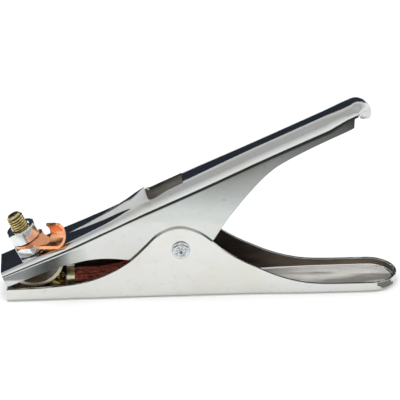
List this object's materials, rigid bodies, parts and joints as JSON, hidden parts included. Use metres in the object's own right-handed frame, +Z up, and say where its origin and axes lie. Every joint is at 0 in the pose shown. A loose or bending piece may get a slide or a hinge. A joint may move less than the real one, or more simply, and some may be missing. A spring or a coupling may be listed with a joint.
{
  "type": "ground clamp",
  "caption": "Spring-closed welding earth clamp of pressed sheet steel with a terminal bolt, cable lug, jaw contacts and a copper braid.",
  "frame": {"origin": "middle of the lower lever's flat underside, half way along the clamp", "axes": "+X from the jaws towards the handles, +Y across the clamp along the pivot, +Z up, square to the lower lever's flat base"},
  "size_m": [0.2322, 0.0379, 0.1165],
  "materials": {
    "zinc_plated_steel": "bright zinc plate on pressed sheet",
    "rivet_steel": "bright zinc plate, swaged",
    "bush_steel": "turned steel",
    "spring_steel": "dark drawn wire",
    "white_zinc": "white zinc plate",
    "yellow_zinc": "yellow passivated zinc plate on steel",
    "brass_contact": "rolled strip, dull",
    "copper_lug": null,
    "copper_braid": null,
    "tinned_brass": "pressed tag, dull yellow"
  },
  "bodies": {
    "lower": {"lower_lever": "zinc_plated_steel", "pivot_rivet": "rivet_steel", "pivot_bush": "bush_steel", "torsion_spring": "spring_steel", "lower_contact": "brass_contact", "lower_contact_screw": "yellow_zinc", "lower_contact_nut": "yellow_zinc", "lower_braid_tag": "tinned_brass", "copper_braid": "copper_braid"},
    "upper": {"upper_lever": "zinc_plated_steel", "upper_contact": "brass_contact", "terminal_bolt": "yellow_zinc", "base_nut": "white_zinc", "upper_braid_tag": "tinned_brass"},
    "lug": {"cable_lug": "copper_lug"},
    "nut": {"terminal_nut": "white_zinc"}
  },
  "joints": [
    {"name": "jaw_hinge", "type": "hinge", "parent": "lower", "child": "upper", "pos_m": [-0.0122, 0, 0.0313], "axis": [0, 1, 0], "range_deg": [0, 28], "stiffness_Nm_per_rad": 12, "springref_deg": -34.38, "deforming": ["torsion_spring", "copper_braid"]},
    {"name": "lug_lift", "type": "slide", "parent": "upper", "child": "lug", "axis": [-0.4226, 0, 0.9063], "range_m": [0, 0.006]},
    {"name": "nut_spin", "type": "hinge", "parent": "lug", "child": "nut", "pos_m": [-0.10114, 0, 0.0344], "axis": [-0.4226, 0, 0.9063], "range_deg": [0, 1440]}
  ],
  "couplings": [
    {"joint": "nut_spin", "follows": "lug_lift", "rad_per_m": 4188.7}
  ]
}
